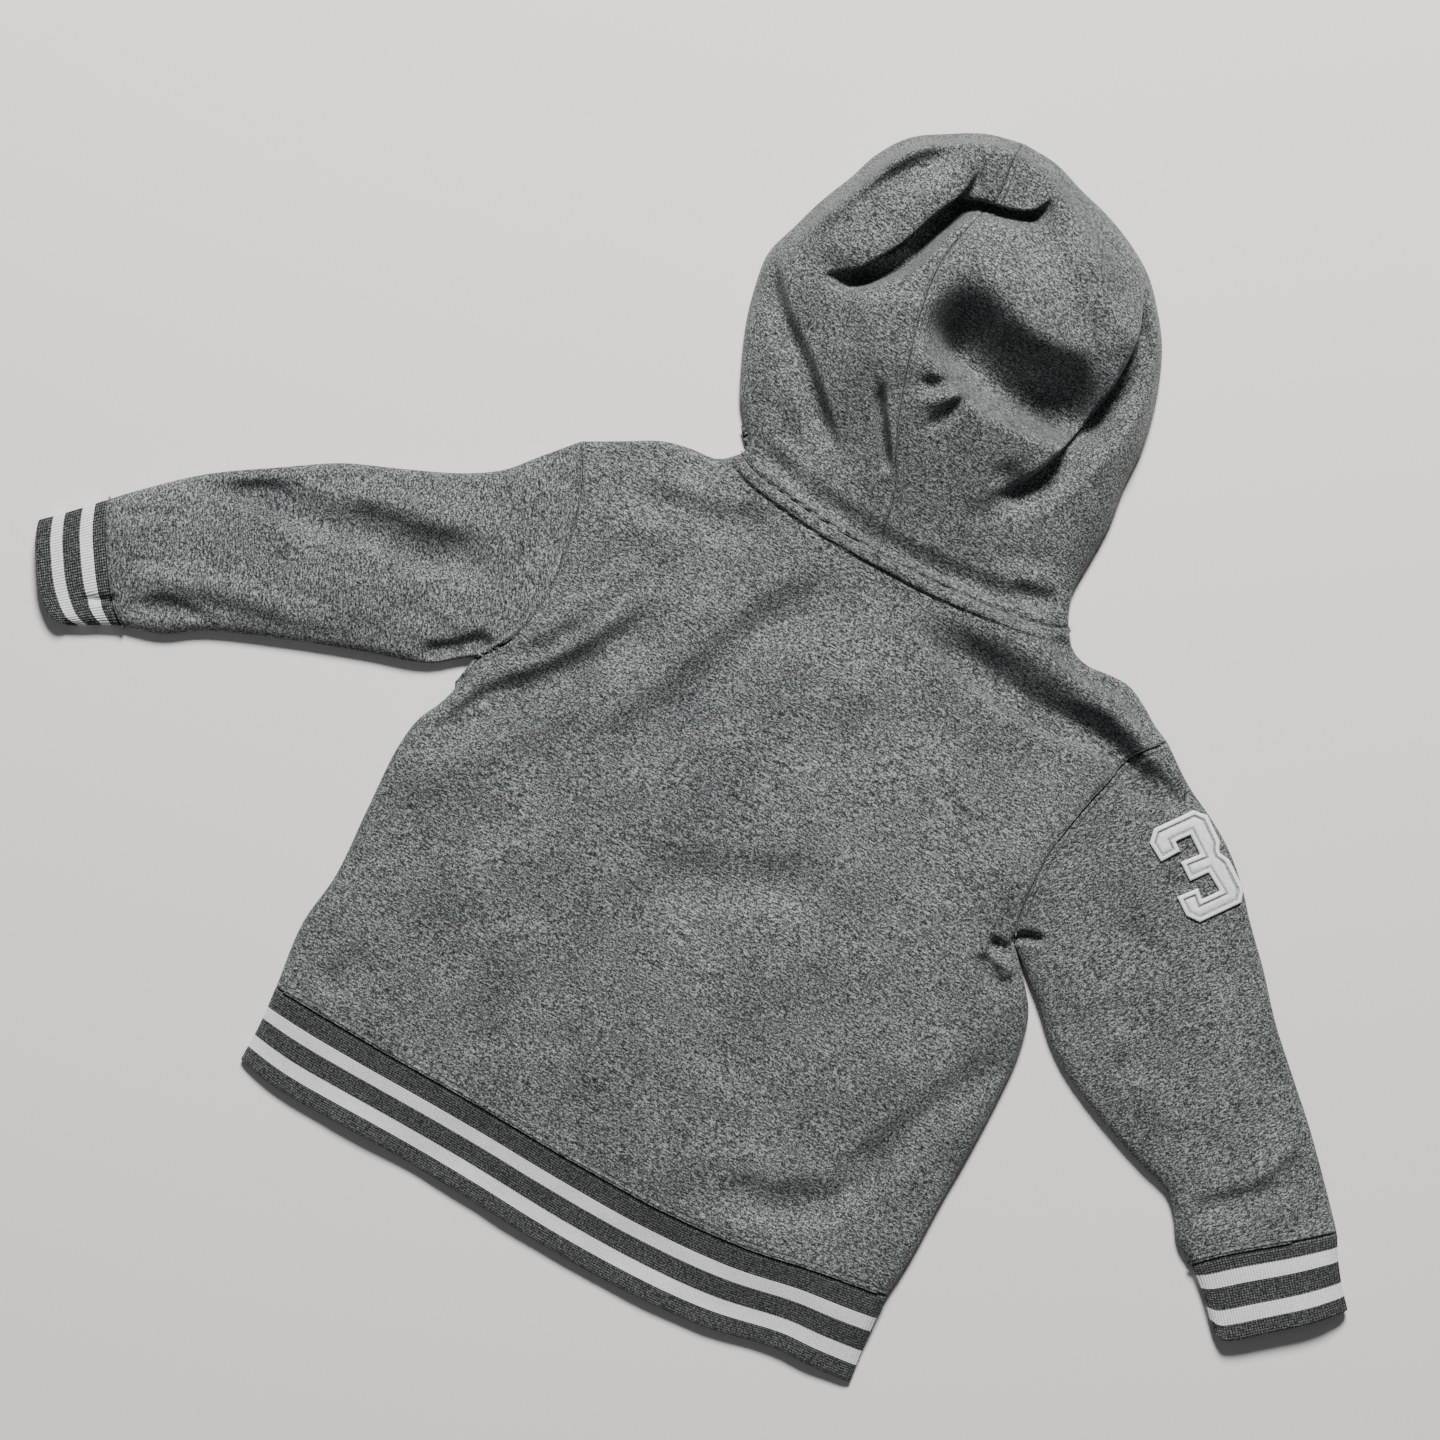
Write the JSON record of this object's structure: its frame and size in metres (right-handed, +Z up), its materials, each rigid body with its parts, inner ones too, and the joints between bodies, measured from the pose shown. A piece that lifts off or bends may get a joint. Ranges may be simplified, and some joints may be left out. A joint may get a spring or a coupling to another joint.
{
  "type": "toddler hoodie",
  "caption": "Toddler's fleece pullover hoodie laid face down, with ribbed striped cuffs and hem, a two-panel hood and a sleeve numeral.",
  "frame": {"origin": "centre of the garment's plan box, on the surface that it lies on", "axes": "+X to the right along the hem, +Y from the hem to the hood, +Z up from the surface"},
  "size_m": [0.7652, 0.6036, 0.0525],
  "materials": {
    "fleece": "heather charcoal brushed knit",
    "ribbing": "charcoal rib knit with white stripes",
    "applique": "white twill with a satin stitched border"
  },
  "bodies": {
    "root": {"back_panel": "fleece", "front_panel": "fleece", "left_sleeve": "fleece", "right_sleeve": "fleece", "left_cuff": "ribbing", "right_cuff": "ribbing", "hem_band": "ribbing", "hood_left": "fleece", "hood_right": "fleece", "sleeve_numeral": "applique"}
  },
  "joints": []
}
